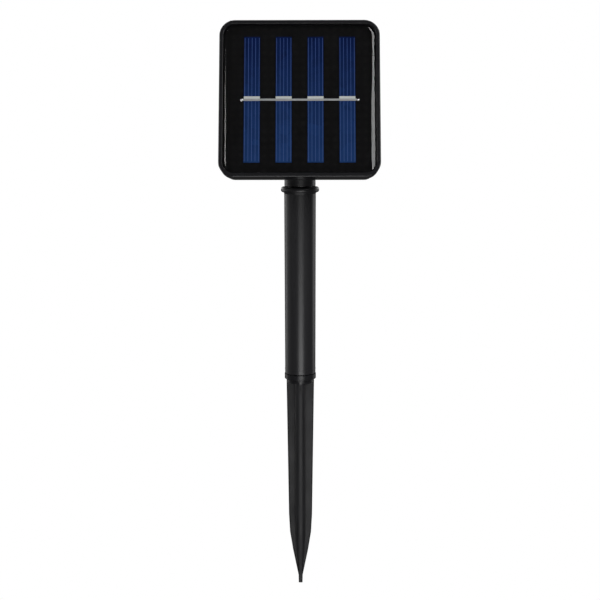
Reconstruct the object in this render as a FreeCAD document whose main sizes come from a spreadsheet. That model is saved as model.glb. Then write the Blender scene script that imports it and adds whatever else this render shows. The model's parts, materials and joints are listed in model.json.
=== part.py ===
import FreeCAD, Part
import math
import os
import re

import Sketcher

# Solar panel head of a garden light string, on a tilting neck, a push-fit pole and a ground stake.
#
# The stake and the pole stand on the Z axis, and the ground line is Z = 0. The panel looks towards -Y.
# The head is modelled upright about its tilt pivot: X across, Z up the face, and "depth" counted from
# the front face towards the back. The Placement of each head piece then leans it back by "lean".

DOC = FreeCAD.newDocument("SolarStakeHead")
V = FreeCAD.Vector
QUARTER_TURN = math.pi / 2

SIZES = [
    ("flange_diameter", 13.3, "stake: flange that the pole stands on"),
    ("flange_height", 2.2, "stake: flange thickness, above the ground line"),
    ("flange_round", 0.3, "stake: rounding of the flange's lower edge"),
    ("boss_diameter", 11.6, "stake: round boss under the flange"),
    ("boss_height", 1.7, "stake: boss thickness"),
    ("boss_round", 0.3, "stake: rounding of the boss's lower edge"),
    ("stake_depth", 91.7, "stake: ground line to tip"),
    ("stake_width", 11.75, "stake: blade width at the boss"),
    ("knee_width", 9.8, "stake: blade width where the point begins"),
    ("knee_depth", 68.5, "stake: ground line to where the point begins"),
    ("knee_bend", 8, "stake: length of the soft bend there, each way"),
    ("knee_ease", 0.33, "stake: how far the bend passes inside the corner, each side"),
    ("point_depth", 88.3, "stake: ground line to the end of the sloping edges"),
    ("stub_width", 1.8, "stake: square stub at the tip"),
    ("stub_draft", 1.2, "stake: draft of the stub, degrees"),
    ("stub_round", 0.5, "stake: rounding of the stub's long edges"),
    ("rib_thickness", 2.1, "stake: thickness of the side blades"),
    ("rib_round", 0.6, "stake: rounding of the side blades' edges"),
    ("spine_thickness", 4.3, "stake: thickness of the front and back blades"),
    ("spine_round", 1.95, "stake: rounding of the front and back blades' edges"),
    ("notch_width", 0.9, "stake: V mark at the top of the front blade, width"),
    ("notch_height", 3.6, "stake: V mark, height"),
    ("notch_cut", 0.4, "stake: V mark, depth"),
    ("foot_spigot_length", 18, "stake: spigot that goes up into the pole"),
    ("foot_spigot_diameter", 10, "stake: spigot diameter"),
    ("foot_spigot_round", 0.8, "stake: rounding of the spigot's end"),
    ("slide_fit", 0.05, "radial clearance of the two push fits and of the tilt bolt"),
    ("seam_gap", 0.3, "gap in the seams at both ends of the pole"),
    ("pole_length", 79.3, "pole: foot to the top of its collar"),
    ("pole_top_diameter", 13.3, "pole: outside, under the collar"),
    ("pole_foot_diameter", 12.95, "pole: outside, at the foot"),
    ("collar_diameter", 16, "pole: rounded collar"),
    ("collar_height", 2.2, "pole: collar thickness"),
    ("collar_round", 0.85, "pole: rounding of the collar's edges"),
    ("collar_flare", 0.3, "pole: sloped ring under the collar, outwards"),
    ("flare_height", 0.7, "pole: sloped ring under the collar, height"),
    ("bead_height", 1.5, "pole: foot to the fine bead round it"),
    ("bead_width", 0.6, "pole: bead width"),
    ("bead_proud", 0.06, "pole: bead height above the wall"),
    ("head_spigot_length", 8, "pole: spigot above the collar, which the neck turns on"),
    ("head_spigot_diameter", 10, "pole: that spigot's diameter"),
    ("spigot_wall", 1.5, "pole: wall of that spigot"),
    ("neck_diameter", 13.05, "neck: outside"),
    ("socket_depth", 8.4, "neck: depth of the socket"),
    ("neck_roof", 1.6, "neck: thickness above the socket"),
    ("tongue_inset", 0.1, "neck: foot of the tongue, in from its round end, each side"),
    ("tongue_thickness", 5, "neck: tongue between the ears"),
    ("knuckle_radius", 5.2, "tilt joint: radius of the tongue and the ears"),
    ("knuckle_clearance", 1.3, "tilt joint: ears to the neck's roof"),
    ("tongue_room", 0.73, "tilt joint: slot between the ears, past the tongue's round end"),
    ("lean", 18, "tilt joint: lean of the head as set, degrees"),
    ("ear_thickness", 3, "tilt joint: each ear"),
    ("side_gap", 0.3, "tilt joint: tongue to ear, each side"),
    ("swing_gap", 0.6, "tilt joint: collar to the upright back of the case"),
    ("bolt_diameter", 3, "tilt joint: bolt"),
    ("bolt_head_diameter", 5.8, "tilt joint: bolt head"),
    ("bolt_head_height", 1.9, "tilt joint: bolt head thickness"),
    ("drive_length", 3.6, "tilt joint: slot in the bolt's head, length"),
    ("drive_width", 0.75, "tilt joint: slot in the bolt's head, width"),
    ("washer_diameter", 6.6, "tilt joint: washers"),
    ("washer_thickness", 0.5, "tilt joint: washer thickness"),
    ("nut_width", 5.5, "tilt joint: nut across its flats"),
    ("nut_height", 2.4, "tilt joint: nut thickness"),
    ("bolt_tail", 0.8, "tilt joint: bolt past the nut"),
    ("head_width", 65, "head: width"),
    ("head_height", 65.4, "head: height"),
    ("head_corner", 6.4, "head: corner radius"),
    ("pivot_rise", 18.9, "head: bottom edge to the tilt pivot"),
    ("front_depth", 6, "head: depth of the front case's side wall"),
    ("front_taper", 5, "head: draft of the front case's side wall, degrees"),
    ("rim_width", 1.6, "head: rim round the panel, and side wall thickness"),
    ("rim_round", 0.4, "head: rounding of the outer front edge"),
    ("resin_recess", 0.4, "panel: resin below the rim"),
    ("resin_depth", 2, "panel: resin thickness"),
    ("resin_round", 1.1, "panel: rounding of the resin's edge"),
    ("board_thickness", 1, "panel: board under the cells"),
    ("board_gap", 0.2, "panel: board to case, each side"),
    ("floor_thickness", 1.2, "front case: floor behind the panel"),
    ("cell_width", 6.45, "panel: cell strip width"),
    ("cell_length", 52.5, "panel: cell strip length"),
    ("cell_thickness", 0.25, "panel: cell strip thickness"),
    ("cell_pitch", 12.82, "panel: strip to strip"),
    ("cell_drop", 0.05, "panel: strips below the middle"),
    ("bus_rise", 0.25, "panel: bus bars above the middle of the strips"),
    ("bus_height", 1.9, "panel: bus bar width"),
    ("bus_thickness", 0.06, "panel: bus bar thickness"),
    ("ribbon_height", 0.9, "panel: ribbon width"),
    ("ribbon_thickness", 0.14, "panel: ribbon thickness"),
    ("ribbon_overhang", 0.5, "panel: ribbon past the outer strips"),
    ("joint_length", 1.2, "panel: solder joint at each end of the ribbon"),
    ("joint_width", 1.4, "panel: solder joint width"),
    ("joint_height", 0.5, "panel: solder joint height"),
    ("wire_slot_width", 7, "front case: slot for the panel's wires, width"),
    ("wire_slot_height", 3, "front case: slot height"),
    ("wire_slot_x", 17.75, "front case: slot, to the right of the middle"),
    ("wire_slot_rise", 12.5, "front case: slot, above the pivot"),
    ("screw_spread", 25.5, "case screws: out from the middle of the head, both ways"),
    ("screw_boss_diameter", 5.6, "case screws: bosses"),
    ("screw_diameter", 2.2, "case screws: thread"),
    ("screw_clear_diameter", 2.6, "case screws: clearance hole"),
    ("screw_head_diameter", 4, "case screws: head"),
    ("screw_head_height", 1.5, "case screws: head thickness"),
    ("screw_drive_diameter", 1.5, "case screws: socket in the head"),
    ("screw_bite", 3.8, "case screws: thread length in the front case's boss"),
    ("screw_sink", 2.6, "case screws: counterbore depth"),
    ("counterbore_diameter", 4.6, "case screws: counterbore"),
    ("boss_height_front", 4.4, "case screws: front boss above the floor"),
    ("gasket_width", 1.5, "gasket: width"),
    ("gasket_gap", 0.1, "gasket: to the skirt"),
    ("rear_inset", 1, "rear case: step in from the front case"),
    ("rear_taper", 8, "rear case: draft of its walls, degrees"),
    ("rear_wall", 1.6, "rear case: wall"),
    ("rear_round", 1.5, "rear case: rounding of the back edge"),
    ("battery_diameter", 14.2, "battery: over its sleeve"),
    ("battery_length", 50.5, "battery: with its tip"),
    ("battery_rise", 10, "battery: axis above the middle of the head"),
    ("battery_gap", 0.7, "battery: to the front case's floor"),
    ("sleeve_thickness", 0.15, "battery: sleeve"),
    ("tip_diameter", 5.5, "battery: tip"),
    ("tip_height", 1.3, "battery: tip length"),
    ("bay_clearance", 0.2, "battery bay: round the battery"),
    ("spring_room", 4.9, "battery bay: length for the spring"),
    ("spring_diameter", 7, "battery spring: outside"),
    ("spring_wire", 0.6, "battery spring: wire"),
    ("spring_turns", 3, "battery spring: turns"),
    ("plate_thickness", 0.4, "battery contacts: thickness"),
    ("plate_width", 9, "battery contacts: width, front to back"),
    ("plate_height", 10, "battery contacts: height"),
    ("bay_round", 2, "battery bulge: rounding of its ends"),
    ("pcb_left", 28.8, "control board: left edge from the middle"),
    ("pcb_right", 12, "control board: right edge from the middle"),
    ("pcb_height", 16, "control board: height"),
    ("pcb_thickness", 1, "control board: thickness"),
    ("post_length", 5.2, "control board: posts on the back wall"),
    ("post_diameter", 4, "control board: posts"),
    ("left_post_rise", 5, "control board: left post above the pivot"),
    ("right_post_x", 4, "control board: right post, to the left of the middle"),
    ("right_post_drop", 5.2, "control board: right post below the pivot"),
    ("post_hole", 1.6, "control board: screws and their holes"),
    ("post_screw_head", 3, "control board: screw heads"),
    ("post_screw_head_height", 0.9, "control board: screw head thickness"),
    ("post_screw_bite", 3.4, "control board: screw length in the post"),
    ("board_screw_room", 0.6, "control board: screw heads to the floor in front"),
    ("chip_x", 4.5, "control board: controller chip, to the right of the middle"),
    ("chip_rise", 1.8, "control board: controller chip above the pivot"),
    ("chip_width", 5, "control board: controller chip, width"),
    ("chip_height", 3, "control board: controller chip, height"),
    ("chip_depth", 1.5, "control board: controller chip, thickness"),
    ("capacitor_diameter", 4.8, "control board: filter capacitor"),
    ("capacitor_length", 7, "control board: filter capacitor, length"),
    ("capacitor_x", 8, "control board: filter capacitor's end, to the left of the middle"),
    ("capacitor_rise", 3.6, "control board: filter capacitor above the pivot"),
    ("inductor_diameter", 3.4, "control board: boost inductor"),
    ("inductor_length", 6, "control board: boost inductor, length"),
    ("inductor_x", 2, "control board: boost inductor's end, to the right of the middle"),
    ("inductor_drop", 4, "control board: boost inductor below the pivot"),
    ("switch_width", 6, "switches: body"),
    ("switch_height", 3.4, "switches: body height"),
    ("plunger_diameter", 3.4, "switches: plunger"),
    ("plunger_proud", 0.8, "switches: plunger above the body"),
    ("plunger_sunk", 0.9, "switches: plunger inside the body"),
    ("plunger_room", 0.7, "switches: room under the plunger"),
    ("plunger_gap", 0.2, "switches: round the plunger"),
    ("button_diameter", 6.8, "buttons: outside"),
    ("button_gap", 0.2, "buttons: round the stem"),
    ("button_proud", 1, "buttons: above the back wall"),
    ("button_flange_diameter", 8.8, "buttons: flange inside the case"),
    ("button_flange_height", 0.7, "buttons: flange thickness"),
    ("button_round", 0.4, "buttons: rounding of the cap"),
    ("guard_width", 1.2, "buttons: raised ring round each hole, width"),
    ("guard_height", 0.4, "buttons: raised ring, height"),
    ("power_button_x", 13.9, "power button: to the left of the middle"),
    ("mode_button_x", 24.3, "mode button: to the left of the middle"),
    ("button_drop", 1, "buttons: below the pivot"),
    ("gland_x", 20, "cable gland: to the right of the middle"),
    ("gland_bore", 2.2, "cable gland: bore for the light string's cable"),
    ("gland_nose_diameter", 5.4, "cable gland: nose outside the case"),
    ("gland_nose_length", 2.4, "cable gland: nose length"),
    ("gland_flange_diameter", 8, "cable gland: outer flange"),
    ("gland_flange_height", 1, "cable gland: outer flange thickness"),
    ("gland_waist_diameter", 5, "cable gland: waist in the wall, and its hole"),
    ("gland_lip_diameter", 7, "cable gland: inner lip"),
    ("gland_lip_height", 3, "cable gland: inner lip length"),
    ("wire_diameter", 1, "leads inside the head"),
    ("lead_spread", 3.5, "leads: apart, side by side"),
    ("lead_edge", 1.6, "leads: solder pads in from the control board's top edge"),
    ("panel_pad_x", 2, "leads: panel plus pad, to the right of the middle"),
    ("panel_lead_room", 1.4, "leads: panel leads in front of the back wall"),
    ("battery_lead_room", 2.4, "leads: battery leads in front of the back wall"),
    ("plus_pad_rise", 5, "leads: battery plus pad above the pivot"),
    ("plus_pad_inset", 1.5, "leads: battery plus pad in from the control board's right edge"),
]

DERIVED = [
    ("pole_foot", "flange_height + seam_gap", "height of the pole's foot"),
    ("collar_top", "pole_foot + pole_length", "height of the collar's top"),
    ("neck_base", "collar_top + seam_gap", "height of the neck's rim"),
    ("socket_roof", "neck_base + socket_depth", "height of the socket's inner end"),
    ("neck_top", "socket_roof + neck_roof", "height of the neck's shoulder"),
    ("pivot_height", "neck_top + knuckle_clearance + knuckle_radius", "height of the tilt pivot"),
    ("pivot_setback", "collar_diameter / 2 + swing_gap", "tilt pivot behind the back wall"),
    ("pole_bore", "foot_spigot_diameter + 2 * slide_fit", "pole's bore"),
    ("socket_bore", "head_spigot_diameter + 2 * slide_fit", "neck's socket"),
    ("recess_depth", "resin_recess + resin_depth + board_thickness", "front face to the panel's floor"),
    ("floor_back", "recess_depth + floor_thickness", "front face to the back of that floor"),
    ("pcb_stack", "post_length + pcb_thickness + post_screw_head_height + board_screw_room", "board room"),
    ("bay_room", "battery_gap + battery_diameter / 2", "battery room in front of the back wall"),
    ("wall_inner", "floor_back + max(bay_room; pcb_stack)", "front face to the back wall's inside"),
    ("case_depth", "wall_inner + rear_wall", "front face to the back wall's outside"),
    ("face_y", "-(pivot_setback + case_depth)", "Y of the front face, from the pivot"),
    ("face_middle", "head_height / 2 - pivot_rise", "middle of the face, above the pivot"),
    ("battery_z", "face_middle + battery_rise", "battery axis, above the pivot"),
    ("bay_radius", "battery_diameter / 2 + bay_clearance", "battery bay's radius"),
    ("bay_length", "battery_length + spring_room + 2 * plate_thickness", "battery bay's length"),
    ("pcb_back", "wall_inner - post_length", "front face to the control board's back"),
    ("switch_top", "pcb_back + switch_height", "front face to the top of the switches"),
    ("plunger_top", "switch_top + plunger_proud", "front face to the top of the plungers"),
    ("boss_meet", "floor_back + boss_height_front", "front face to where the screw bosses meet"),
    ("screw_seat", "case_depth - screw_sink", "front face to the seat of the screw heads"),
    ("board_front", "resin_recess + resin_depth", "front face to the panel board"),
    ("cell_front", "board_front - cell_thickness", "front face to the cells"),
    ("bus_front", "cell_front - bus_thickness", "front face to the bus bars"),
    ("ribbon_front", "bus_front - ribbon_thickness", "front face to the ribbon"),
    ("cells_z", "face_middle - cell_drop", "middle of the strips, above the pivot"),
    ("bus_z", "cells_z + bus_rise", "middle of the bus bars, above the pivot"),
    ("ribbon_z", "bus_z - (bus_height - ribbon_height) / 2", "ribbon, above the pivot"),
    ("ribbon_length", "3 * cell_pitch + cell_width + 2 * ribbon_overhang", "ribbon's length"),
    ("ear_reach", "tongue_thickness / 2 + side_gap + ear_thickness", "outer face of the ears"),
    ("washer_face", "ear_reach + washer_thickness", "outer face of the washers"),
]

SHEET_OF = {}
SHEET_OF.update((name, "Sizes") for name, _, _ in SIZES)
SHEET_OF.update((name, "Derived") for name, _, _ in DERIVED)


def qualified(expression, home=None):
    """Put its sheet's name before each alias, except the aliases of the home sheet."""
    def prefixed(match):
        word = match.group(0)
        sheet = SHEET_OF.get(word, home)
        return word if sheet == home else f"{sheet}.{word}"
    return re.sub(r"[A-Za-z_]\w*", prefixed, str(expression))


def make_sheet(title, rows):
    """One row per size: what it is, and its cell with an alias."""
    sheet = DOC.addObject("Spreadsheet::Sheet", title)
    for row, (alias, content, meaning) in enumerate(rows, start=1):
        sheet.set(f"A{row}", meaning)
        formula = isinstance(content, str)
        sheet.set(f"B{row}", "=" + qualified(content, title) if formula else str(content))
        sheet.setAlias(f"B{row}", alias)
    DOC.recompute()
    return sheet


def value(expression):
    """The number that an expression in the sheets' aliases has now."""
    return float(DOC.Sizes.evalExpression(qualified(expression)))


def bind(thing, prop, expression):
    """Tie a property to the sheets."""
    thing.setExpression(prop, qualified(expression))


def new_body(label):
    return DOC.addObject("PartDesign::Body", label)


def lean_back(thing):
    """Place a piece of the head: pivot at the origin of its own frame, leaned back about X."""
    thing.Placement = FreeCAD.Placement(V(0, 0, value("pivot_height")),
                                        FreeCAD.Rotation(V(-1, 0, 0), value("lean")))
    bind(thing, "Placement.Base.z", "pivot_height")
    bind(thing, "Placement.Rotation.Angle", "lean")
    return thing


def new_head_body(label):
    return lean_back(new_body(label))


# ---- sketches -------------------------------------------------------------------------------------

def new_sketch(body, role, x="0", y="0", z="0"):
    """A sketch on one of the body's own origin planes, moved by x and y in it and z off it."""
    sketch = body.newObject("Sketcher::SketchObject", f"{body.Label}_sketch")
    plane = next(item for item in body.Origin.OriginFeatures if item.Role == role)
    sketch.AttachmentSupport = [(plane, "")]
    sketch.MapMode = "FlatFace"
    for axis, distance in (("x", x), ("y", y), ("z", z)):
        bind(sketch, f"AttachmentOffset.Base.{axis}", distance)
    return sketch


def face_sketch(body, depth, x="0", z="0"):
    """A sketch parallel to the head's face, at a depth behind it; x is across and z up the face."""
    return new_sketch(body, "XZ_Plane", x, z, f"-(face_y + {depth})")


def side_sketch(body, x="0", depth="-face_y", z="0"):
    """A sketch square to the X axis; its own x runs towards the back of the head."""
    return new_sketch(body, "YZ_Plane", f"face_y + {depth}", z, x)


def size_constraint(sketch, constraint, name, expression):
    sketch.renameConstraint(sketch.addConstraint(constraint), name)
    bind(sketch, f"Constraints.{name}", expression)


def pin_down(sketch, geometry, point, x, y):
    """Hold a point of the sketch at x, y from its origin."""
    for kind, axis, expression in (("DistanceX", -2, x), ("DistanceY", -1, y)):
        distance = value(expression)
        name = f"{kind}_{geometry}_{point}"
        if abs(distance) < 1e-9:
            sketch.addConstraint(Sketcher.Constraint("PointOnObject", geometry, point, axis))
        elif distance > 0:
            ends = Sketcher.Constraint(kind, -1, 1, geometry, point, distance)
            size_constraint(sketch, ends, name, expression)
        else:
            ends = Sketcher.Constraint(kind, geometry, point, -1, 1, -distance)
            size_constraint(sketch, ends, name, f"-({expression})")


def circle(sketch, diameter, x="0", y="0"):
    radius = value(diameter) / 2
    shape = Part.Circle(V(value(x), value(y), 0), V(0, 0, 1), radius)
    ring = sketch.addGeometry(shape, False)
    pin_down(sketch, ring, 3, x, y)
    size = Sketcher.Constraint("Diameter", ring, 2 * radius)
    size_constraint(sketch, size, f"diameter_{ring}", diameter)
    return sketch


def outline(sketch, points):
    """A closed outline of straight lines through points given as pairs of expressions."""
    places = [V(value(x), value(y), 0) for x, y in points]
    first = sketch.GeometryCount
    count = len(points)
    for index, place in enumerate(places):
        sketch.addGeometry(Part.LineSegment(place, places[(index + 1) % count]), False)
    for index, (x, y) in enumerate(points):
        line = first + index
        following = first + (index + 1) % count
        sketch.addConstraint(Sketcher.Constraint("Coincident", line, 2, following, 1))
        pin_down(sketch, line, 1, x, y)
    return sketch


def rectangle(sketch, width, height):
    """A rectangle about the sketch's origin."""
    right, top = f"({width}) / 2", f"({height}) / 2"
    left, bottom = f"-{right}", f"-{top}"
    return outline(sketch, [(left, bottom), (right, bottom), (right, top), (left, top)])


def rounded_rectangle(sketch, width, height, radius):
    """A rectangle with round corners about the sketch's origin."""
    right, top, bend = value(width) / 2, value(height) / 2, value(radius)
    across, up = right - bend, top - bend
    runs = [((-across, -top), (across, -top)), ((right, -up), (right, up)),
            ((across, top), (-across, top)), ((-right, up), (-right, -up))]
    centres = [(across, -up), (across, up), (-across, up), (-across, -up)]
    lines = [sketch.addGeometry(Part.LineSegment(V(*a, 0), V(*b, 0)), False) for a, b in runs]
    arcs = []
    for index, centre in enumerate(centres):
        start = (index - 1) * QUARTER_TURN
        whole = Part.Circle(V(*centre, 0), V(0, 0, 1), bend)
        arcs.append(sketch.addGeometry(Part.ArcOfCircle(whole, start, start + QUARTER_TURN), False))
    for index in range(4):
        sketch.addConstraint(Sketcher.Constraint("Tangent", lines[index], 2, arcs[index], 1))
        sketch.addConstraint(Sketcher.Constraint("Tangent", arcs[index], 2, lines[(index + 1) % 4], 1))
        level = "Horizontal" if index % 2 == 0 else "Vertical"
        sketch.addConstraint(Sketcher.Constraint(level, lines[index]))
    for index in range(1, 4):
        sketch.addConstraint(Sketcher.Constraint("Equal", arcs[0], arcs[index]))
    size_constraint(sketch, Sketcher.Constraint("Radius", arcs[0], bend), "corner", radius)
    for name, kind, ends, size, expression in (
            ("right", "DistanceX", (-1, 1, lines[1], 1), right, width),
            ("left", "DistanceX", (lines[3], 1, -1, 1), right, width),
            ("top", "DistanceY", (-1, 1, lines[2], 1), top, height),
            ("bottom", "DistanceY", (lines[0], 1, -1, 1), top, height)):
        size_constraint(sketch, Sketcher.Constraint(kind, *ends, size), name, f"({expression}) / 2")
    return sketch


def round_end(sketch, length, radius):
    """A strip that ends in a half circle about the sketch's origin; the strip runs to -x."""
    reach, bend = value(length), value(radius)
    ends = [V(0, bend, 0), V(-reach, bend, 0), V(-reach, -bend, 0), V(0, -bend, 0)]
    lines = [sketch.addGeometry(Part.LineSegment(ends[i], ends[i + 1]), False) for i in range(3)]
    whole = Part.Circle(V(0, 0, 0), V(0, 0, 1), bend)
    arc = sketch.addGeometry(Part.ArcOfCircle(whole, -QUARTER_TURN, QUARTER_TURN), False)
    sketch.addConstraint(Sketcher.Constraint("Coincident", arc, 3, -1, 1))
    sketch.addConstraint(Sketcher.Constraint("Coincident", arc, 2, lines[0], 1))
    sketch.addConstraint(Sketcher.Constraint("Coincident", lines[0], 2, lines[1], 1))
    sketch.addConstraint(Sketcher.Constraint("Coincident", lines[1], 2, lines[2], 1))
    sketch.addConstraint(Sketcher.Constraint("Coincident", lines[2], 2, arc, 1))
    sketch.addConstraint(Sketcher.Constraint("PointOnObject", arc, 1, -2))
    sketch.addConstraint(Sketcher.Constraint("PointOnObject", arc, 2, -2))
    sketch.addConstraint(Sketcher.Constraint("Horizontal", lines[0]))
    sketch.addConstraint(Sketcher.Constraint("Horizontal", lines[2]))
    sketch.addConstraint(Sketcher.Constraint("Vertical", lines[1]))
    size_constraint(sketch, Sketcher.Constraint("Radius", arc, bend), "bend", radius)
    along = Sketcher.Constraint("DistanceX", lines[1], 1, -1, 1, reach)
    size_constraint(sketch, along, "reach", length)
    return sketch


def each_screw(sketch, diameter):
    """A circle at each of the four case screws."""
    for x in ("-screw_spread", "screw_spread"):
        for z in ("-screw_spread", "screw_spread"):
            circle(sketch, diameter, x, z)
    return sketch


# ---- features -------------------------------------------------------------------------------------

def extrude(kind, sketch, length, backwards, middle, taper):
    body = sketch.getParentGeoFeatureGroup()
    feature = body.newObject(f"PartDesign::{kind}", f"{body.Label}_{kind.lower()}")
    feature.Profile = sketch
    feature.Reversed = backwards
    feature.SideType = "Symmetric" if middle else "One side"
    bind(feature, "Length", length)
    bind(feature, "TaperAngle", taper)
    body.Tip = feature
    return feature


def pad(sketch, length, backwards=False, middle=False, taper="0"):
    """Add a block along the sketch's normal, or against it."""
    return extrude("Pad", sketch, length, backwards, middle, taper)


def pocket(sketch, length, backwards=False, middle=False, taper="0"):
    """Cut a pocket against the sketch's normal, or along it, and make sure that it cuts."""
    body = sketch.getParentGeoFeatureGroup()
    DOC.recompute()
    before = body.Shape.Volume
    feature = extrude("Pocket", sketch, length, backwards, middle, taper)
    DOC.recompute()
    if body.Shape.Volume > before - 1e-6:
        raise ValueError(f"{body.Label}: a pocket cuts nothing")
    return feature


def slab(sketch, length, taper="0"):
    """Add a block from a face sketch towards the back of the head."""
    return pad(sketch, length, backwards=True, taper=taper)


def sink(sketch, length, taper="0"):
    """Cut from a face sketch towards the back of the head."""
    return pocket(sketch, length, taper=taper)


def revolve(sketch, axis):
    """Turn a half section round an axis of its sketch."""
    body = sketch.getParentGeoFeatureGroup()
    feature = body.newObject("PartDesign::Revolution", f"{body.Label}_revolution")
    feature.Profile = sketch
    feature.ReferenceAxis = (sketch, [axis])
    feature.Angle = 360
    body.Tip = feature
    return feature


def fillet(body, radius, wanted):
    """Round the edges of the body's last feature that the test accepts."""
    DOC.recompute()
    base = body.Tip
    names = [f"Edge{i}" for i, edge in enumerate(base.Shape.Edges, start=1) if wanted(edge)]
    if not names:
        raise ValueError(f"{body.Label}: no edge to round")
    feature = body.newObject("PartDesign::Fillet", f"{body.Label}_fillet")
    feature.Base = (base, names)
    bind(feature, "Radius", radius)
    body.Tip = feature
    return feature


def in_plane(axis, place):
    """A test for edges that lie in a plane square to an axis (0 X, 1 Y, 2 Z), in the body's frame."""
    def test(edge):
        return all(abs(vertex.Point[axis] - place) < 1e-4 for vertex in edge.Vertexes)
    return test


def rings_of(radius, axis, place):
    """A test for full circles of a radius in a plane."""
    flat = in_plane(axis, place)

    def test(edge):
        return flat(edge) and isinstance(edge.Curve, Part.Circle) and abs(edge.Curve.Radius - radius) < 1e-4
    return test


# ---- stake, pole and neck ---------------------------------------------------------------------------

def blade_sections():
    """Depth, width, and how far the thickness has gone towards the stub's, at each bend of a blade."""
    above, below = "(knee_depth - knee_bend)", "(knee_depth + knee_bend)"
    upper = f"(stake_width - knee_width) * {above} / knee_depth"
    share = "(knee_bend / (point_depth - knee_depth))"
    return [("boss_height / 2", "stake_width", "0"),
            (above, f"stake_width - {upper}", "0"),
            ("knee_depth", "knee_width - 2 * knee_ease", "0"),
            (below, f"knee_width - (knee_width - stub_width) * {share}", share),
            ("point_depth", "stub_width", "1")]


def add_blade(body, thickness, rounding, turned):
    """One blade right through the stake, lofted between its sections, from the boss to the stub."""
    sections = []
    for depth, width, share in blade_sections():
        thick = f"({thickness} + (stub_width - {thickness}) * {share})"
        corner = f"({rounding} + (stub_round - {rounding}) * {share})"
        sketch = new_sketch(body, "XY_Plane", z=f"-{depth}")
        sizes = (thick, width) if turned else (width, thick)
        sections.append(rounded_rectangle(sketch, *sizes, corner))
    DOC.recompute()
    loft = body.newObject("PartDesign::AdditiveLoft", f"{body.Label}_loft")
    loft.Profile = sections[0]
    loft.Sections = sections[1:]
    loft.Ruled = True
    body.Tip = loft


def make_ground_stake():
    """Crossed blades under a boss and a flange, with a spigot that goes up into the pole."""
    body = new_body("ground_stake")
    pad(circle(new_sketch(body, "XY_Plane"), "flange_diameter"), "flange_height")
    fillet(body, "flange_round", rings_of(value("flange_diameter / 2"), 2, 0))
    spigot = new_sketch(body, "XY_Plane", z="flange_height")
    pad(circle(spigot, "foot_spigot_diameter"), "foot_spigot_length")
    spigot_end = value("flange_height + foot_spigot_length")
    fillet(body, "foot_spigot_round", rings_of(value("foot_spigot_diameter / 2"), 2, spigot_end))
    pad(circle(new_sketch(body, "XY_Plane"), "boss_diameter"), "boss_height", backwards=True)
    fillet(body, "boss_round", rings_of(value("boss_diameter / 2"), 2, -value("boss_height")))
    add_blade(body, "spine_thickness", "spine_round", turned=True)
    add_blade(body, "rib_thickness", "rib_round", turned=False)
    stub = new_sketch(body, "XY_Plane", z="-point_depth")
    rounded_rectangle(stub, "stub_width", "stub_width", "stub_round")
    pad(stub, "stake_depth - point_depth", backwards=True, taper="-stub_draft")
    notch = new_sketch(body, "XZ_Plane", z="stake_width / 2 - notch_cut")
    outline(notch, [("-notch_width / 2", "-boss_height"), ("notch_width / 2", "-boss_height"),
                    ("0", "-(boss_height + notch_height)")])
    pocket(notch, "2 * notch_cut", backwards=True)
    return body


def make_pole_tube():
    """A tube with a rounded collar and a spigot at the top, and a bore for the stake's spigot."""
    body = new_body("pole_tube")
    section = new_sketch(body, "XZ_Plane")
    foot, top, bore = "pole_foot_diameter / 2", "pole_top_diameter / 2", "pole_bore / 2"
    collar, spigot = "collar_diameter / 2", "head_spigot_diameter / 2"
    throat = "head_spigot_diameter / 2 - spigot_wall"
    under = "collar_top - collar_height"
    high = "collar_top + head_spigot_length"
    bead_low, bead_high = "pole_foot + bead_height", "pole_foot + bead_height + bead_width"
    proud = "pole_foot_diameter / 2 + bead_proud"
    outline(section, [(foot, "pole_foot"), (foot, bead_low), (proud, bead_low), (proud, bead_high),
                      (foot, bead_high), (top, f"{under} - flare_height"),
                      (f"{top} + collar_flare", under), (collar, under), (collar, "collar_top"),
                      (spigot, "collar_top"), (spigot, high), (throat, high),
                      (throat, f"{under} - spigot_wall"), (bore, f"{under} - 2 * spigot_wall"),
                      (bore, "pole_foot")])
    revolve(section, "V_Axis")
    for place in (value(under), value("collar_top")):
        fillet(body, "collar_round", rings_of(value(collar), 2, place))
    fillet(body, "spigot_wall / 3", rings_of(value(spigot), 2, value(high)))
    return body


def make_neck_socket():
    """A cup that turns on the pole's spigot, with the tongue of the tilt joint on its roof."""
    body = new_body("neck_socket")
    pad(circle(new_sketch(body, "XY_Plane", z="neck_base"), "neck_diameter"), "neck_top - neck_base")
    fillet(body, "neck_roof / 2", rings_of(value("neck_diameter") / 2, 2, value("neck_top")))
    sunk = new_sketch(body, "XY_Plane", z="socket_roof")
    pocket(circle(sunk, "socket_bore"), "socket_depth")
    upright = new_sketch(body, "YZ_Plane", y="pivot_height")
    side = "(knuckle_radius - tongue_inset)"
    foot = "neck_top - neck_roof / 2 - pivot_height"
    outline(upright, [(f"-{side}", foot), (side, foot), (side, "0"), (f"-{side}", "0")])
    pad(upright, "tongue_thickness", middle=True)
    knuckle = new_sketch(body, "YZ_Plane", y="pivot_height")
    pad(circle(knuckle, "2 * knuckle_radius"), "tongue_thickness", middle=True)
    eye = new_sketch(body, "YZ_Plane", y="pivot_height")
    pocket(circle(eye, "bolt_diameter + 2 * slide_fit"), "neck_diameter", middle=True)
    return body


# ---- tilt bolt --------------------------------------------------------------------------------------

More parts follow.
